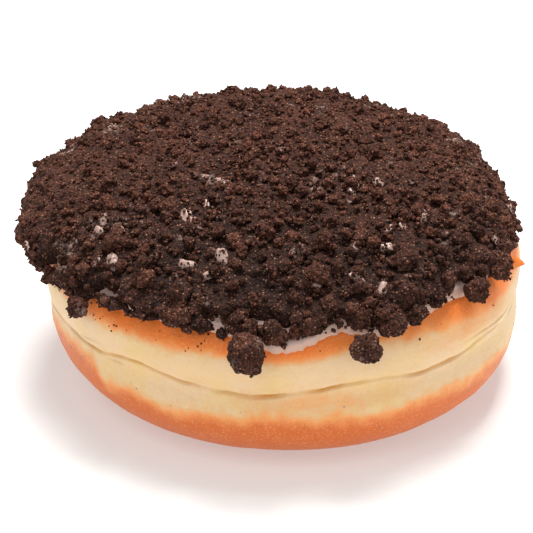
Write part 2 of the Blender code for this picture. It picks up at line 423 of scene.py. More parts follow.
def makeDough():
    piece = spinOutline("doughCrust", doughOutline(), dough["turns"])
    points = readPoints(piece)
    radius = np.hypot(points[:, 0], points[:, 1])
    turn = turnOf(points)
    height = points[:, 2]
    # the crease wanders, opens and closes, and fades out on the right
    crease = dough["creaseHeight"] + bends(turn, dough["creaseBends"])
    crease += wander(turn, dough["creaseWander"])
    opened = dough["creaseOpen"] + dough["creaseVaries"] * ringNoise(turn, 8.0, 21.0)
    opened = np.clip(opened, dough["creaseLeast"], dough["creaseMost"])
    opened *= 1 - bends(turn, dough["creaseFades"])
    above = height - crease
    width = dough["creaseHalfWidth"] * np.where(above > 0, dough["creaseAbove"], dough["creaseBelow"])
    groove = swell(above / width)
    lip = dough["lipHeight"] * swell((above - dough["lipAbove"]) / dough["lipHalfWidth"]) * opened
    radius = radius - dough["creaseDepth"] * opened * groove + lip
    for at, halfTurn, level, halfHeight, climb, depth in dough["hollows"]:
        gap = turnGap(turn, at)
        radius -= depth * swell(gap / halfTurn) * swell((height - level - climb * gap) / halfHeight)
    # a second, fainter crease above the first on the right
    second = height - dough["secondCrease"] - bends(turn, dough["secondBends"])
    onRight = swell(turnGap(turn, dough["secondTurn"]) / dough["secondReach"])
    radius -= dough["secondDepth"] * swell(second / dough["secondHalfWidth"]) * onRight
    # a short upright crack beside the wrinkle
    crack = turnGap(turn, dough["crackTurn"]) + (height - dough["crackHeight"]) * dough["crackSlope"]
    alongCrack = swell((height - dough["crackMiddle"]) / dough["crackHalfHeight"])
    radius -= dough["crackDepth"] * swell(crack / dough["crackReach"]) * alongCrack
    points = settle(turn, radius, height)
    # soft hollows and swellings, then a fine crepe of skin
    way = unit(points - np.array([0, 0, dough["middle"]]))
    relief = sum(tall * noiseAt(points, size, seed) for size, seed, tall in dough["swellings"])
    flattened = points * np.array([1, 1, dough["crepeFlatness"]])
    relief += dough["crepeHeight"] * noiseAt(flattened, dough["crepeSize"], 9.0)
    relief *= ease(dough["flatUpTo"], dough["fullFrom"], height)
    points += way * relief.reshape(-1, 1)
    points[:, 2] = np.maximum(points[:, 2], 0.0)
    writePoints(piece, points)
    paintDough(piece, turn, height, points, groove * opened)
    return piece


# how browned the crust is; heights in metres, turns in degrees
browned = {
    "patchSize": 6 * mm, "fleckSize": 2.2 * mm,
    "lowEdge": 14.6 * mm, "lowWander": ((2.5, 31.0, 0.9 * mm),),
    "lowRagged": (1.2 * mm, 0.9 * mm), "lowFrom": 1.2 * mm, "lowFull": -4.8 * mm,
    "leftRise": 3.6 * mm, "leftRiseFrom": (-47.5, -52.0), "leftRiseTo": (-110, -75),
    # faint blushes: turn, half width, height, half height, strength
    "blushes": ((8, 34, 16.5 * mm, 3.8 * mm, 0.30), (50, 24, 24.6 * mm, 4.0 * mm, 0.24)),
    "highEdge": 26.4 * mm, "highWander": ((3.5, 33.0, 0.6 * mm),),
    "highBends": ((-3, 12, -0.9 * mm), (25, 22, 0.7 * mm), (-64, 12, 0.6 * mm)),
    "highRagged": (0.6 * mm, 0.7 * mm), "highFrom": -1.6 * mm, "highFull": 2.2 * mm,
    "highMost": 0.98, "highPaler": ((28, 28, 0.40), (-80, 25, 0.25), (150, 60, 0.25)),
    # where the upper band's painted light starts and where it is full
    "upperFrom": 17 * mm, "upperFull": 22 * mm,
}


def paintDough(piece, turn, height, points, groove):
    # 0 is pale and 1 is well browned
    patchy = noiseAt(points, browned["patchSize"], 4.0)
    flecked = noiseAt(points, browned["fleckSize"], 14.0)
    wide, fine = browned["lowRagged"]
    lowEdge = browned["lowEdge"] + wander(turn, browned["lowWander"])
    gap = turnGap(turn, 0)
    left = ease(*browned["leftRiseFrom"], gap) * ease(*browned["leftRiseTo"], gap)
    lowEdge += browned["leftRise"] * left
    ragged = height - lowEdge - wide * patchy - fine * flecked
    brown = ease(browned["lowFrom"], browned["lowFull"], ragged)
    wide, fine = browned["highRagged"]
    highEdge = browned["highEdge"] + wander(turn, browned["highWander"])
    highEdge += bends(turn, browned["highBends"])
    ragged = height - highEdge - wide * patchy - fine * flecked
    high = ease(browned["highFrom"], browned["highFull"], ragged)
    brown += high * (browned["highMost"] - bends(turn, browned["highPaler"]))
    for at, halfTurn, level, halfHeight, strength in browned["blushes"]:
        brown += strength * swell(turnGap(turn, at) / halfTurn) * swell((height - level) / halfHeight)
    paintPoints(piece, "browning", np.clip(brown, 0, 1))
    # the upper band's share, which carries its painted light in the crust material
    paintPoints(piece, "upper", ease(browned["upperFrom"], browned["upperFull"], height))
    paintPoints(piece, "groove", np.clip(groove, 0, 1))


crust = {
    # pale proof line, gold, orange brown, deep brown; the base is browned a little darker than the top
    "pale": "E3C298", "cream": "E1B783", "gold": "EBA05C", "orange": "E28443", "brown": "D36A2A",
    "creaseYellow": "DFA548", "brightOrange": "F1802E", "golden": "EFC077", "blister": "F0AE7C",
    "roughness": 0.48,
    "poreSize": 0.7, "poreBump": 0.24,  # in millimetres
}


def crustMaterial():
    # fried yeast dough: a thin, dry, slightly greasy skin, pale where it floated clear of the oil
    crustSkin = newMaterial("friedYeastCrust")
    place = addNode(crustSkin, "TexCoord").outputs["Object"]
    browning = paintedNode(crustSkin, "browning")
    groove = paintedNode(crustSkin, "groove")
    mottle = noiseNode(crustSkin, place, 420.0, 4.0, 0.6)
    freckle = noiseNode(crustSkin, place, 1900.0, 2.0, 0.6)
    uneven = scaledNode(crustSkin, mottle, 0.44, -0.22)
    shade = addNode(crustSkin, "Math", {"operation": "ADD"}, {0: browning, 1: uneven})
    grainy = scaledNode(crustSkin, freckle, 0.36, -0.18)
    toned = addNode(crustSkin, "Math", {"operation": "ADD"}, {0: shade, 1: grainy})
    colour = addNode(crustSkin, "ValToRGB", {
        "stops": [(0.0, crust["pale"]), (0.18, crust["cream"]), (0.42, crust["gold"]),
                  (0.72, crust["orange"]), (1.0, crust["brown"])],
    }, {"Fac": toned})
    # the upper band is mixed towards a brighter orange: partly its own deeper colour, partly painted
    # light that lifts the shade the crumbs above cast on it
    upper = paintedNode(crustSkin, "upper")
    litUpperBrown = timesNode(crustSkin, upper, browning)
    paintedLightShare = addNode(crustSkin, "Math", {"operation": "MULTIPLY", 1: 0.8}, {0: litUpperBrown})
    paintedLightBand = tintedNode(crustSkin, colour, paintedLightShare, crust["brightOrange"])
    # golden patches drift through the pale skin, and pale pin-head blisters through the brown
    drift = noiseNode(crustSkin, place, 95.0, 3.0, 0.6)
    warm = rangedNode(crustSkin, drift, 0.46, 0.66, 0.6)
    goldened = addNode(crustSkin, "Mix", {"data_type": "RGBA", "blend_type": "DARKEN",
                       7: hexColour(crust["golden"])},
                       {0: warm, 6: paintedLightBand})
    pinHeads = addNode(crustSkin, "TexVoronoi", {"Scale": 1500.0}, {"Vector": place})
    pinTops = rangedNode(crustSkin, pinHeads, 0.40, 0.12, 0.34)
    onBrown = timesNode(crustSkin, pinTops, browning)
    blistered = tintedNode(crustSkin, goldened, onBrown, crust["blister"])
    # egg-yellow crumb shows where the crease has opened
    yolk = noiseNode(crustSkin, place, 150.0, 2.0)
    gaps = rangedNode(crustSkin, yolk, 0.35, 0.62)
    inCrease = timesNode(crustSkin, groove, gaps)
    painted = tintedNode(crustSkin, blistered, inCrease, crust["creaseYellow"])
    pores = addNode(crustSkin, "TexNoise", {
        "Scale": 1 / (crust["poreSize"] * mm), "Detail": 3.0, "Roughness": 0.55,
    }, {"Vector": place})
    skin = addNode(crustSkin, "Bump", {"Strength": 0.6, "Distance": crust["poreBump"] * mm},
                   {"Height": pores})
    shader = addNode(crustSkin, "BsdfPrincipled", {
        "Roughness": crust["roughness"], "IOR": 1.45, "Specular IOR Level": 0.4,
        "Subsurface Weight": 0.12, "Subsurface Radius": (1.0, 0.45, 0.2), "Subsurface Scale": 0.0012,
    }, {"Base Color": painted, "Normal": skin})
    addNode(crustSkin, "OutputMaterial", links={"Surface": shader})
    return crustSkin


doughPiece = makeDough()
finishPiece(doughPiece, crustMaterial(), ["dough"])


# icing
icing = {
    "inside": 0.25 * mm, "thickness": 1.15 * mm, "lip": 0.45 * mm,
    "thickFrom": 0.05,  # as a share of the way from the edge to the middle
    "beadAt": 0.06, "beadHalfWidth": 0.05, "beadHeight": 0.25 * mm,
    "unevenSize": 7 * mm, "unevenHeight": 0.14 * mm, "underside": -0.65 * mm,
    # waves round the doughnut, seed, degrees up the crown
    "ripples": ((22.0, 3.0, 1.2), (62.0, 4.0, 1.5)),
    # the set colour is a greyed pink, darker than white icing: partly its own colour, partly painted
    # shade from the crumbs over it
    "colour": "BFA196", "thinColour": "CB9877", "thinUpTo": 0.055,
    "topSteps": 60, "underSteps": 26, "turns": 640,
}


def makeIcing():
    edge = math.radians(dough["icingEdge"])
    roomy = 1.0 * mm  # the two sides start this far apart, and are told apart by it
    outline = crownPoints(np.linspace(math.pi / 2, edge, icing["topSteps"]), roomy)
    outline += crownPoints(np.linspace(edge, math.pi / 2, icing["underSteps"]))
    outline[0] = (0.0, dough["top"] + roomy)
    outline[-1] = (0.0, dough["top"])
    piece = spinOutline("sugarIcing", outline, icing["turns"])
    points = readPoints(piece)
    turn = turnOf(points)
    radius = np.hypot(points[:, 0], points[:, 1])
    # each point's place between the edge and the middle, read back from its radius
    angles = np.linspace(edge, math.pi / 2, 400)
    radii, heights = crownOutline(angles)
    share = (np.interp(-radius, -radii, angles) - edge) / (math.pi / 2 - edge)
    outer = points[:, 2] > np.interp(-radius, -radii, heights) + roomy / 2
    lowest = icingEdgeAngle(turn) + np.radians(wander(turn, icing["ripples"]))
    angle = lowest + (math.pi / 2 - lowest) * share
    onCrown = overCrown(turn, angle, 0)
    # it thins to a soft rounded lip at the edge, with a fat bead just above it
    body = icing["lip"] + (icing["thickness"] - icing["lip"]) * ease(0.0, icing["thickFrom"], share)
    body += icing["beadHeight"] * swell((share - icing["beadAt"]) / icing["beadHalfWidth"])
    body += icing["unevenHeight"] * noiseAt(onCrown, icing["unevenSize"], 2.0)
    distance = np.where(outer, icing["inside"] + body, icing["underside"])
    writePoints(piece, overCrown(turn, angle, distance))
    paintPoints(piece, "thin", ease(icing["thinUpTo"], 0.0, share))
    return piece


def icingMaterial(name, setColour):
    # poured sugar icing: opaque white set glossy, faintly see-through where it thins over the crust
    sugar = newMaterial(name)
    place = addNode(sugar, "TexCoord").outputs["Object"]
    thin = paintedNode(sugar, "thin")
    cloud = noiseNode(sugar, place, 260.0, 2.0)
    veil = scaledNode(sugar, cloud, 0.25, -0.1)
    seeThrough = addNode(sugar, "Math", {"operation": "MULTIPLY_ADD", 1: 0.55, "use_clamp": True},
                         {0: thin, 2: veil})
    colour = addNode(sugar, "Mix", {
        "data_type": "RGBA", 6: hexColour(setColour), 7: hexColour(icing["thinColour"]),
    }, {0: seeThrough})
    gloss = rangedNode(sugar, cloud, 0.0, 1.0, 0.42, 0.22)
    ripple = noiseNode(sugar, place, 900.0, 1.0)
    faint = addNode(sugar, "Bump", {"Strength": 0.15, "Distance": 0.08 * mm}, {"Height": ripple})
    shader = addNode(sugar, "BsdfPrincipled", {
        "IOR": 1.48, "Subsurface Weight": 0.2, "Subsurface Radius": (1.0, 0.7, 0.6),
        "Subsurface Scale": 0.0015,
    }, {"Base Color": colour, "Roughness": gloss, "Normal": faint})
    addNode(sugar, "OutputMaterial", links={"Surface": shader})
    return sugar


icingSkin = icingMaterial("setSugarIcing", icing["colour"])
icingPiece = makeIcing()
finishPiece(icingPiece, icingSkin, ["icing"])


# the core of packed crumbs
heap = {
    "radius": 46.7 * mm, "rimHeight": 31.2 * mm, "topHeight": 43.3 * mm, "fullness": 2.5,
    "drift": (-2.7 * mm, 1.1 * mm),
    "thinnest": 1.2 * mm, "sunken": 1.9 * mm,  # the core lies this far under the loose crumbs
    "edgeAboveIcing": 3.0,  # degrees up the crown
    # size and height of each kind of lump, coarse to fine
    "lumps": ((9.0, 1.2), (4.2, 0.9), (2.2, 0.8)),
    "grains": ((1.5, 0.55), (0.8, 0.28)),
    # turn in degrees, half width in degrees, metres
    "rimBends": ((-82, 55, 1.0 * mm), (-118, 36, 1.7 * mm), (98, 34, -2.5 * mm), (180, 60, 0.6 * mm)),
    "rimRises": ((-82, 55, -1.6 * mm), (-170, 80, 1.3 * mm)),
    "lumpLevel": 0.35, "grainLevel": 0.45,
    # rounder, bigger lumps: size, height, and the share of it that they keep at the back
    "nuggets": (4.6, 1.3, 0.35),
    "nuggetRim": (0.3, 0.9), "nuggetFront": (120, 60),
    "sunkenInside": 0.40, "sunkenRim": (1.0, 0.82), "sunkenBehind": 0.5,
    "coarseUpTo": -34 * mm, "fineFrom": 4 * mm,
    "bareDepth": 0.3 * mm, "hiddenHeight": 0.2 * mm,
    # the bed's tint is painted shade and light: low overall and in the hollows, lighter on the lumps,
    # paler towards the back
    "tint": 0.30, "tintHigh": 0.22, "tintFine": 0.20, "tintRange": (-0.3, 0.8),
    "cuts": 8, "underRings": 7,
}

# bare patches of icing near the front rim; turns in degrees
bareIcing = {
    "facing": 2, "sides": (82, 58),
    "size": 5.5 * mm, "speckSize": 2.4 * mm, "speckShare": 0.4,
    "reach": 0.20, "reachVaries": 0.08, "rimShare": 1.2, "least": 1.03, "edge": 0.14,
}


def heapArc():
    # the heap's profile from its middle to its rim, at even steps along it
    angles = np.linspace(math.pi / 2, 0, 4000)
    power = 2 / heap["fullness"]
    radius = heap["radius"] * np.maximum(np.cos(angles), 0) ** power
    height = heap["rimHeight"] + (heap["topHeight"] - heap["rimHeight"]) * np.sin(angles) ** power
    length = np.concatenate([[0], np.cumsum(np.hypot(np.diff(radius), np.diff(height)))])
    return radius, height, length / length[-1]


arcRadius, arcHeight, arcShare = heapArc()


def onHeap(turn, outwards):
    # a point of the heap's smooth outside: outwards runs from 0 in the middle to 1 at the rim
    radius = np.interp(outwards, arcShare, arcRadius)
    height = np.interp(outwards, arcShare, arcHeight)
    # it hangs lower and wider at the left, is drawn in at the right and stands higher at the back
    radius = radius + bends(turn, heap["rimBends"]) * outwards ** 6
    height = height + bends(turn, heap["rimRises"]) * outwards ** 4
    sideways, backwards = heap["drift"]
    return np.stack([radius * np.sin(turn) + sideways, backwards - radius * np.cos(turn), height], 1)


def fineness(points):
    # 0 at the front of the heap, 1 over its middle and back
    return ease(heap["coarseUpTo"], heap["fineFrom"], points[:, 1])


def bareness(turn, outwards, points):
    # 1 where the crumbs leave the icing bare, in patches near the front rim
    front = ease(*bareIcing["sides"], np.abs(turnGap(turn, bareIcing["facing"])))
    patchy = noiseAt(points, bareIcing["size"], 17.0)
    patchy += bareIcing["speckShare"] * noiseAt(points, bareIcing["speckSize"], 27.0)
    reach = bareIcing["reach"] + bareIcing["reachVaries"] * ringNoise(turn, 8.0, 41.0)
    patchy += bareIcing["rimShare"] * ease(1 - reach, 1.0, outwards)
    return ease(0.0, bareIcing["edge"], (patchy - bareIcing["least"]) * front)


def makeBed():
    bpy.ops.mesh.primitive_ico_sphere_add(subdivisions=heap["cuts"], radius=1.0, location=(0, 0, 0))
    piece = bpy.context.object
    piece.name = piece.data.name = "crumbBed"
    bpy.ops.object.mode_set(mode="EDIT")
    bpy.ops.mesh.select_all(action="SELECT")
    bpy.ops.mesh.bisect(plane_co=(0, 0, 0.0001), plane_no=(0, 0, 1), clear_inner=True, use_fill=False)
    # the rim is carried inwards under the heap, ring by ring, and closed in the middle
    bpy.ops.mesh.select_all(action="DESELECT")
    bpy.ops.mesh.select_mode(type="EDGE")
    bpy.ops.mesh.select_non_manifold()
    rings = heap["underRings"]
    for ring in range(1, rings):
        size = (1 - ring / rings) / (1 - (ring - 1) / rings)
        bpy.ops.mesh.extrude_region_move(TRANSFORM_OT_translate={"value": (0, 0, -0.1)})
        bpy.ops.transform.resize(value=(size, size, 1), center_override=(0, 0, 0))
    bpy.ops.mesh.edge_face_add()
    bpy.ops.mesh.poke()
    bpy.ops.mesh.select_all(action="SELECT")
    bpy.ops.mesh.normals_make_consistent(inside=False)
    bpy.ops.object.mode_set(mode="OBJECT")
    points = readPoints(piece)
    turn = turnOf(points)
    under = points[:, 2] < -0.05
    flat = np.hypot(points[:, 0], points[:, 1])
    outwards = np.where(under, flat, np.arctan2(flat, points[:, 2]) / (math.pi / 2))
    outwards = np.clip(outwards, 0, 1)
    edge = icingEdgeAngle(turn) + math.radians(heap["edgeAboveIcing"])
    angle = edge + (math.pi / 2 - edge) * (1 - outwards)
    wayOut = crownWayOut(turn, angle)
    onIcing = overCrown(turn, angle, icing["inside"] + icing["thickness"])
    outside = onHeap(turn, outwards)
    short = heap["thinnest"] - np.sum((outside - onIcing) * wayOut, 1)
    outside = outside + wayOut * np.maximum(short, 0).reshape(-1, 1)
    relief = np.zeros(len(points))
    for place, (size, height) in enumerate(heap["lumps"]):
        relief += height * mm * noiseAt(outside, size * mm, 5.0 + place)
    size, height, behind = heap["nuggets"]
    front = ease(*heap["nuggetRim"], outwards) * ease(*heap["nuggetFront"], offFront(turn))
    nuggets = heap["lumpLevel"] - cellsAt(outside, size * mm, 9.0) ** 2
    relief += height * mm * nuggets * (behind + (1 - behind) * front)
    for place, (size, height) in enumerate(heap["grains"]):
        relief += height * mm * (heap["grainLevel"] - cellsAt(outside, size * mm, 11.0 + place) ** 2)
    # the crumbs get finer and lie closer towards the back
    inside = heap["sunkenInside"]
    sunken = inside + (1 - inside) * ease(*heap["sunkenRim"], outwards)
    relief -= heap["sunken"] * sunken * (1 - heap["sunkenBehind"] * fineness(outside))
    way = unit(outside - np.array([0, 0, dough["bellyHeight"]]))
    lumpy = outside + way * relief.reshape(-1, 1)
    sunk = overCrown(turn, angle, icing["inside"] - heap["bareDepth"])
    bare = bareness(turn, outwards, outside).reshape(-1, 1)
    finished = lumpy * (1 - bare) + sunk * bare
    hidden = overCrown(turn, angle, icing["inside"] + heap["hiddenHeight"])
    writePoints(piece, np.where(under.reshape(-1, 1), hidden, finished))
    # painted shade and light: the bed is kept darker than the loose crumbs and darker in its hollows
    # than on its lumps, so the gaps read as shade; it is painted paler towards the back, where the
    # light falls stronger
    tint = heap["tint"] + heap["tintHigh"] * relief / mm + heap["tintFine"] * fineness(outside)
    paintPoints(piece, "tint", np.clip(tint, *heap["tintRange"]))
    return piece, outside, way, relief, turn, outwards, bare.ravel()


crumb = {
    "darkest": "20120D", "dark": "3A2219", "middle": "512F23", "light": "754735", "speck": "AE7A60",
    "film": "C2A79C",
    "roughness": 0.82,
}


def crumbMaterial():
    # crushed dark cocoa cookie: dry, sandy, with reddish sugar grains and a haze of cream in places
    cookie = newMaterial("crushedCocoaCookie")
    place = addNode(cookie, "TexCoord").outputs["Object"]
    tint = paintedNode(cookie, "tint")
    sand = noiseNode(cookie, place, 2200.0, 3.0, 0.7)
    spread = scaledNode(cookie, tint, 0.36, 0.05)
    mixed = addNode(cookie, "Math", {"operation": "MULTIPLY_ADD", 1: 0.75}, {0: sand, 2: spread})
    beads = addNode(cookie, "TexVoronoi", {"Scale": 2100.0, "feature": "SMOOTH_F1", "Smoothness": 0.3},
                    {"Vector": place})
    # painted shade: the colour is darker where the grains meet and lighter at their middles
    between = addNode(cookie, "Math", {"operation": "MULTIPLY_ADD", 1: -0.55}, {0: beads, 2: mixed})
    colour = addNode(cookie, "ValToRGB", {
        "stops": [(0.05, crumb["darkest"]), (0.24, crumb["dark"]), (0.42, crumb["middle"]),
                  (0.62, crumb["light"])],
    }, {"Fac": between})
    grains = addNode(cookie, "TexVoronoi", {"Scale": 2000.0, "Randomness": 1.0}, {"Vector": place})
    pick = addNode(cookie, "SeparateColor", links={"Color": grains.outputs["Color"]})
    rare = rangedNode(cookie, pick, 0.78, 0.84)
    close = rangedNode(cookie, grains, 0.18, 0.42, 0.0, 0.75)
    specks = timesNode(cookie, rare, close)
    speckled = tintedNode(cookie, colour, specks, crumb["speck"])
    haze = noiseNode(cookie, place, 130.0, 6.0, 0.78)
    creamy = rangedNode(cookie, haze, 0.60, 0.70, 0.70)
    dusted = tintedNode(cookie, speckled, creamy, crumb["film"])
    sugarGrit = noiseNode(cookie, place, 2600.0, 4.0, 0.75)
    sandy = addNode(cookie, "Bump", {"Strength": 1.0, "Distance": 0.24 * mm}, {"Height": sugarGrit})
    grainy = addNode(cookie, "Bump", {"Strength": 1.0, "Distance": 0.30 * mm, "invert": True},
                     {"Height": beads, "Normal": sandy})
    shader = addNode(cookie, "BsdfPrincipled", {
        "Roughness": crumb["roughness"], "IOR": 1.45, "Specular IOR Level": 0.2,
    }, {"Base Color": dusted, "Normal": grainy})
    addNode(cookie, "OutputMaterial", links={"Surface": shader})
    return cookie


cookieMaterial = crumbMaterial()
bed, bedPoints, bedWay, bedRelief, bedTurn, bedOutwards, bedBare = makeBed()
finishPiece(bed, cookieMaterial, ["crumb_topping"])


# loose crumbs: sizes in millimetres; sink and apart are how deep they sink and how far apart they
# stay, as shares of their size; cuts is how finely a shape is cut
kinds = {
    "coarseCrumbs": {
        "count": 105, "sizes": (3.2, 6.4), "shapes": 14, "cuts": 4, "sink": 0.18, "apart": 0.72,
    },
    "mediumCrumbs": {
        "count": 560, "sizes": (1.8, 3.7), "shapes": 14, "cuts": 3, "sink": 0.14, "apart": 0.46,
    },
    "smallCrumbs": {
        "count": 1250, "sizes": (1.0, 2.0), "shapes": 12, "cuts": 2, "sink": 0.06, "apart": 0.0,
    },
}
loose = {
    "rim": 0.999, "barest": 0.5,  # crumbs lie inside this rim, where the icing is less bare than this
    "tried": 2.6,  # for each one kept, where they stay apart
    "favour": 1.6, "finer": 0.32, "coarseBehind": 0.3,
    "coarseRim": (0.35, 0.95), "coarseFront": (130, 50),
    "deeperSides": 0.20, "deeperRim": (0.55, 0.95), "deeperTurn": (45, 85), "deeperBehind": 0.12,
    # paler: crumbs towards the back are painted paler, as painted light
    "flattest": 0.62, "tone": (0.2, 0.8), "paler": 0.18,
}
# the relief of one crumb, coarse to fine: size and height as shares of it
shape = {
    "blockiness": 0.28,
    "crumb": (("CLOUDS", 0.50, 0.55), ("VORONOI", 0.36, -0.22)),
    "detail": (("VORONOI", 0.15, -0.12), ("CLOUDS", 0.08, 0.12)),
    "grain": (("CLOUDS", 0.50, 0.40),),
}
chance = np.random.default_rng(20)


def crumbShape(name, cuts, seed):
    # a ball is added away from the others, so that each takes its own piece of the textures
    aside = (seed * 7.3, seed * 2.9, 0)
    bpy.ops.mesh.primitive_ico_sphere_add(subdivisions=cuts, radius=0.5, location=aside)
    ball = bpy.context.object
    ball.name = name
    relief = shape["crumb"] if cuts > 1 else shape["grain"]
    if cuts > 2:
        pressBlocky(ball, shape["blockiness"])
        relief += shape["detail"]
    for kind, size, height in relief:
        roughen(ball, kind, size, height)
    points = readPoints(ball)
    points -= points.mean(0)
    points /= (np.ptp(points, axis=0)).max()
    faces = np.empty(len(ball.data.polygons) * 3, np.int64)
    ball.data.polygons.foreach_get("vertices", faces)
    bpy.data.objects.remove(ball)
    return points, faces.reshape(-1, 3)


def crumbShapes(name, count, cuts, seed):
    return [crumbShape(f"{name}Shape{i}", cuts, i + seed) for i in range(count)]


def drawSizes(sizes, count, favour):
    # sizes in metres from a range in millimetres; the higher favour is, the more of them are small
    least, most = sizes
    return (least + (most - least) * chance.uniform(0, 1, count) ** favour) * mm


def randomTurns(count):
    # evenly spread rotations
    w, x, y, z = unit(chance.normal(size=(count, 4))).T
    return np.stack([
        np.stack([1 - 2 * (y * y + z * z), 2 * (x * y - w * z), 2 * (x * z + w * y)], 1),
        np.stack([2 * (x * y + w * z), 1 - 2 * (x * x + z * z), 2 * (y * z - w * x)], 1),
        np.stack([2 * (x * z - w * y), 2 * (y * z + w * x), 1 - 2 * (x * x + y * y)], 1),
    ], 1)


def joinCopies(name, shapes, places, sizes, tone=loose["tone"], turned=None, squash=None):
    # one mesh with a copy of a shape at each place, each turned and squashed its own way
    if turned is None:
        turned = randomTurns(len(places))
    if squash is None:
        squash = chance.uniform(loose["flattest"], 1.0, (len(places), 3))
    picks = chance.integers(0, len(shapes), len(places))
    # painted light: crumbs towards the back of the heap are painted paler, where the light falls
    # stronger
    tints = chance.uniform(*tone, len(places)) + loose["paler"] * fineness(places)
    allPoints, allFaces, allTints, start = [], [], [], 0
    for place, size, turnedBy, flat, pick, tint in zip(places, sizes, turned, squash, picks, tints):
        points, faces = shapes[pick]
        allPoints.append((points * flat) @ turnedBy.T * size + place)
        allFaces.append(faces + start)
        allTints.append(np.full(len(points), tint))
        start += len(points)
    points = np.concatenate(allPoints)
    faces = np.concatenate(allFaces)
    mesh = bpy.data.meshes.new(name)
    mesh.vertices.add(len(points))
    mesh.loops.add(faces.size)
    mesh.polygons.add(len(faces))
    mesh.vertices.foreach_set("co", points.ravel())
    mesh.loops.foreach_set("vertex_index", faces.ravel())
    mesh.polygons.foreach_set("loop_start", np.arange(0, faces.size, 3))
    mesh.update(calc_edges=True)
    piece = bpy.data.objects.new(name, mesh)
    bpy.context.scene.collection.objects.link(piece)
    paintPoints(piece, "tint", np.concatenate(allTints))
    return piece


def keepApart(places, sizes, apart):
    # drops a crumb that lies too near a bigger one
    kept = []
    for i in np.argsort(-sizes):
        gaps = np.linalg.norm(places[kept] - places[i], axis=1)
        if not (gaps < apart * (sizes[kept] + sizes[i])).any():
            kept.append(i)
    return np.array(kept)


def coveredSpots():
    return np.flatnonzero((bedOutwards < loose["rim"]) & (bedBare < loose["barest"]))


def scatterKind(name, kind):
    shapes = crumbShapes(name, kind["shapes"], kind["cuts"], 31 * kind["cuts"])
    tried = int(kind["count"] * (loose["tried"] if kind["apart"] else 1.0))
    picks = chance.choice(coveredSpots(), tried, replace=False)
    sizes = drawSizes(kind["sizes"], len(picks), loose["favour"])
    sizes *= 1 - loose["finer"] * fineness(bedPoints[picks])
    if name == "coarseCrumbs":
        # they gather towards the front and the rim
        near = ease(*loose["coarseRim"], bedOutwards[picks])
        near *= ease(*loose["coarseFront"], offFront(bedTurn[picks]))
        behind = loose["coarseBehind"]
        keep = chance.uniform(0, 1, len(picks)) < behind + (1 - behind) * near
        picks, sizes = picks[keep], sizes[keep]
    # near the rim they sit deeper, so that the heap keeps its outline
    deeper = loose["deeperSides"] * ease(*loose["deeperRim"], bedOutwards[picks])
    deeper *= ease(*loose["deeperTurn"], offFront(bedTurn[picks]))
    deeper += loose["deeperBehind"] * fineness(bedPoints[picks])
    lift = bedRelief[picks] + sizes * (0.5 - kind["sink"] - deeper)
    places = bedPoints[picks] + bedWay[picks] * lift.reshape(-1, 1)
    if kind["apart"]:
        kept = keepApart(places, sizes, kind["apart"])
        kept = chance.permutation(kept)[:kind["count"]]
        places, sizes = places[kept], sizes[kept]
    piece = joinCopies(name, shapes, places, sizes)
    finishPiece(piece, cookieMaterial)
    return piece


loosePieces = [scatterKind(name, kind) for name, kind in kinds.items()]


# crumbs at the rim: sizes in millimetres, and lowest in degrees above the icing's edge
rim = {
    "rimNuggets": {"cuts": 4, "onIcing": 50, "hanging": 0, "sizes": (3.0, 5.4), "lowest": 2.4},
    "rimCrumbs": {"cuts": 3, "onIcing": 180, "hanging": 170, "sizes": (1.5, 3.2), "lowest": 3.15},
    "rimBits": {"cuts": 2, "onIcing": 1450, "hanging": 500, "sizes": (0.5, 1.5), "lowest": 3.9},
}
caught = {
    "highest": 10.0, "spread": 0.8, "proud": 0.22, "apart": 0.44, "tried": 4,
    "clusterSize": 3.6 * mm, "pairSize": 1.5 * mm, "pairShare": 0.6, "upShare": 0.5, "more": 0.08,
    "favour": 1.8, "shapes": 12,
}
hung = {
    "sideShare": 0.45, "sideTurns": (52, 112), "tuckedIn": 0.4, "furtherIn": (0, 2.2),
    "lower": (-0.2, 0.35),
    "drop": (0, 3.4), "dropTurn": 74, "dropReach": 34, "dropInwards": 0.55,
}


def rimPlaces(count, kind):
    # crumbs caught on the icing between its edge and the heap, in clusters that leave bare patches
    turn = chance.uniform(-math.pi, math.pi, count * 5)
    upwards = chance.uniform(0, 1, len(turn)) ** caught["spread"]
    lowest = kind["lowest"]
    angle = icingEdgeAngle(turn) + np.radians(lowest + (caught["highest"] - lowest) * upwards)
    spots = overCrown(turn, angle, icing["inside"] + icing["thickness"])
    cluster = noiseAt(spots, caught["clusterSize"], 71.0)
    cluster += caught["pairShare"] * noiseAt(spots, caught["pairSize"], 72.0)
    cluster += caught["upShare"] * upwards + caught["more"]
    kept = np.flatnonzero(cluster > 0)[:count]
    size = drawSizes(kind["sizes"], len(kept), caught["favour"])
    wayOut = crownWayOut(turn[kept], angle[kept])
    return spots[kept] + wayOut * (size * caught["proud"]).reshape(-1, 1), size


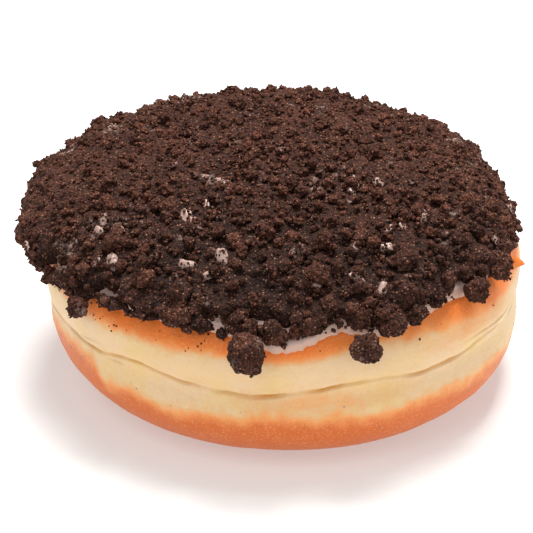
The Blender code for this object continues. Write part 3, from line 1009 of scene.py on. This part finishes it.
def hangingPlaces(kind):
    # crumbs along the heap's own rim, hanging a little under it
    count = kind["hanging"]
    turn = chance.uniform(-math.pi, math.pi, count)
    sides = chance.uniform(0, 1, count) < hung["sideShare"]
    sideTurn = chance.choice((-1, 1), count) * chance.uniform(*hung["sideTurns"], count)
    turn = np.where(sides, np.radians(sideTurn), turn)
    spots = onHeap(turn, np.full(count, 1.0))
    inwards = -np.stack([np.sin(turn), -np.cos(turn), np.zeros(count)], 1)
    size = drawSizes(kind["sizes"], count, caught["favour"])
    back = hung["tuckedIn"] * size + chance.uniform(*hung["furtherIn"], count) * mm
    spots += inwards * back.reshape(-1, 1)
    spots[:, 2] -= chance.uniform(*hung["lower"], count) * size
    # at the sides they reach down to the icing's edge
    side = (offFront(turn) - hung["dropTurn"]) / hung["dropReach"]
    drop = chance.uniform(*hung["drop"], count) * mm * swell(side)
    spots += inwards * (hung["dropInwards"] * drop).reshape(-1, 1)
    spots[:, 2] -= drop
    return spots, size


def scatterRim(name, kind):
    cuts, onIcing = kind["cuts"], kind["onIcing"]
    shapes = crumbShapes(name, caught["shapes"], cuts, 200 + 40 * cuts)
    spaced = name == "rimNuggets"
    places, size = rimPlaces(onIcing * (caught["tried"] if spaced else 1), kind)
    if spaced:
        kept = keepApart(places, size, caught["apart"])[:onIcing]
        places, size = places[kept], size[kept]
    under, underSize = hangingPlaces(kind)
    places, size = np.concatenate([places, under]), np.concatenate([size, underSize])
    piece = joinCopies(name, shapes, places, size)
    finishPiece(piece, cookieMaterial)
    return piece


loosePieces += [scatterRim(name, kind) for name, kind in rim.items()]


# the big chunks at the rim
chunks = {
    # size and height of each kind of relief, coarse to fine, in millimetres
    "relief": (
        ("CLOUDS", 3.2, 1.6), ("VORONOI", 1.9, -0.8), ("VORONOI", 0.8, -0.5), ("CLOUDS", 0.4, 0.3),
    ),
    "cuts": 4, "blockiness": (0.26, 0.18, 0.10), "size": 0.90,
    "tone": (0.5, 0.4, 4 * mm),  # middle, how much it varies, and the patches' size
}


def makeChunks():
    # each chunk is pressed towards a block, as broken cookie is, then all are roughened together
    names = sorted(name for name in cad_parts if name.startswith("cookie_chunk_"))
    copies = []
    for place, name in enumerate(names):
        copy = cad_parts[name].copy()
        copy.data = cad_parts[name].data.copy()
        copy.parent = None
        for key in list(copy.keys()):
            del copy[key]
        bpy.context.scene.collection.objects.link(copy)
        choose(copy)
        bpy.ops.object.mode_set(mode="EDIT")
        bpy.ops.mesh.select_all(action="SELECT")
        bpy.ops.mesh.remove_doubles(threshold=weld)
        bpy.ops.mesh.subdivide(number_cuts=chunks["cuts"], smoothness=0.5)
        bpy.ops.mesh.quads_convert_to_tris()
        bpy.ops.transform.resize(value=(chunks["size"], chunks["size"], chunks["size"]))
        bpy.ops.object.mode_set(mode="OBJECT")
        bpy.ops.object.origin_set(type="ORIGIN_GEOMETRY")
        pressBlocky(copy, chunks["blockiness"][place % 3])
        copies.append(copy)
    choose(*copies)
    bpy.ops.object.join()
    bpy.ops.object.transform_apply(location=True, rotation=True, scale=True)
    piece = bpy.context.object
    piece.name = piece.data.name = "cookieChunks"
    for kind, size, height in chunks["relief"]:
        roughen(piece, kind, size * mm, height * mm)
    tone, varies, patch = chunks["tone"]
    tint = tone + varies * noiseAt(readPoints(piece), patch, 60.0)
    paintPoints(piece, "tint", np.clip(tint, 0, 1))
    finishPiece(piece, cookieMaterial, names)
    return piece


loosePieces.append(makeChunks())


# smears of icing pressed up between the crumbs, mostly in front
smears = {
    # the smears' colour is darker than the icing's: partly crumb-stained, partly painted shade that
    # tones down where they catch the light
    "colour": "A58A7F", "count": 40, "sizes": (1.6, 4.2), "favour": 1.3, "shapes": 6,
    "proud": 0.50 * mm, "thickness": 0.36, "narrow": (0.4, 0.8),
    "inwards": 0.25, "outwards": 0.96, "sideways": 100, "stray": 60,
}


def makeSmears():
    shapes = crumbShapes("smear", smears["shapes"], 3, 500)
    sideways = offFront(bedTurn) + chance.uniform(0, smears["stray"], len(bedTurn))
    free = (bedOutwards > smears["inwards"]) & (bedOutwards < smears["outwards"])
    free &= (bedBare < loose["barest"]) & (sideways < smears["sideways"])
    picks = chance.choice(np.flatnonzero(free), smears["count"], replace=False)
    size = drawSizes(smears["sizes"], len(picks), smears["favour"])
    places = bedPoints[picks] + bedWay[picks] * (bedRelief[picks] + smears["proud"]).reshape(-1, 1)
    # each lies flat on the heap, turned any way about its own upright
    up = bedWay[picks]
    along = unit(np.cross(up, chance.normal(size=up.shape)))
    turned = np.stack([along, np.cross(up, along), up], 2)
    flat = np.stack([np.ones(len(picks)), chance.uniform(*smears["narrow"], len(picks)),
                     np.full(len(picks), smears["thickness"])], 1)
    piece = joinCopies("icingSmears", shapes, places, size, (0, 0), turned, flat)
    finishPiece(piece, icingMaterial("crumbedAndShadedSugarIcing", smears["colour"]))
    return piece


loosePieces.append(makeSmears())


# grit and dust over everything; sizes in millimetres
grit = {
    "fineCrumbs": {"count": 5200, "sizes": (0.50, 0.95), "onCoarse": 0.3},
    "dustCrumbs": {"count": 5000, "sizes": (0.28, 0.55), "onCoarse": 1.0},
}
lying = {
    "onBed": 0.42, "onCrumbs": 0.58, "facing": 0.25, "proud": 0.2,
    "favour": 1.5, "tone": (0.25, 1.0), "shapes": 8,
    "coarse": ("coarseCrumbs", "rimNuggets", "cookieChunks"),
}


def scatterGrit(name, kind):
    # grains lie on the bed and on the larger crumbs alike, on the sides that face out
    shapes = crumbShapes(name, lying["shapes"], 1, 300)
    picks = chance.choice(coveredSpots(), int(kind["count"] * lying["onBed"]), replace=False)
    spots = [bedPoints[picks] + bedWay[picks] * bedRelief[picks].reshape(-1, 1)]
    ways = [bedWay[picks]]
    weights = [1.0 if piece.name not in lying["coarse"] else kind["onCoarse"] for piece in loosePieces]
    for piece, weight in zip(loosePieces, weights):
        points = readPoints(piece)
        normals = np.empty(len(points) * 3)
        piece.data.vertex_normals.foreach_get("vector", normals)
        normals = normals.reshape(-1, 3)
        out = unit(points - np.array([0, 0, dough["shoulderHeight"]]))
        facing = np.flatnonzero(np.sum(normals * out, 1) > lying["facing"])
        share = int((kind["count"] * lying["onCrumbs"]) * weight / sum(weights))
        picks = chance.choice(facing, share, replace=False)
        spots.append(points[picks])
        ways.append(normals[picks])
    places, ways = np.concatenate(spots), np.concatenate(ways)
    sizes = drawSizes(kind["sizes"], len(places), lying["favour"])
    places = places + ways * (sizes * lying["proud"]).reshape(-1, 1)
    piece = joinCopies(name, shapes, places, sizes, lying["tone"])
    finishPiece(piece, cookieMaterial)


for name, kind in grit.items():
    scatterGrit(name, kind)


# a few specks stuck to the side of the dough, most of them on the left; sizes in millimetres
strays = {
    "strayCrumbs": {"count": 110, "sizes": (0.25, 0.6), "heights": (25.6 * mm, 30.0 * mm), "seed": 400},
    "strayIcing": {"count": 40, "sizes": (0.25, 0.55), "heights": (9.0 * mm, 16.0 * mm), "seed": 420},
}
strayed = {"favour": 2, "elsewhere": 0.15, "left": -30 * mm, "reach": 34 * mm, "shapes": 4}


def makeStrays(name, kind, material):
    shapes = crumbShapes(name, strayed["shapes"], 1, kind["seed"])
    side = readPoints(doughPiece)
    likely = swell((side[:, 0] - strayed["left"]) / strayed["reach"])
    likely = strayed["elsewhere"] + (1 - strayed["elsewhere"]) * likely
    wanted = chance.uniform(0, 1, len(side)) < likely
    low, high = kind["heights"]
    picks = np.flatnonzero((side[:, 2] > low) & (side[:, 2] < high) & wanted)
    picks = chance.choice(picks, kind["count"], replace=False)
    size = drawSizes(kind["sizes"], kind["count"], strayed["favour"])
    finishPiece(joinCopies(name, shapes, side[picks], size), material)


makeStrays("strayCrumbs", strays["strayCrumbs"], cookieMaterial)
makeStrays("strayIcing", strays["strayIcing"], icingSkin)
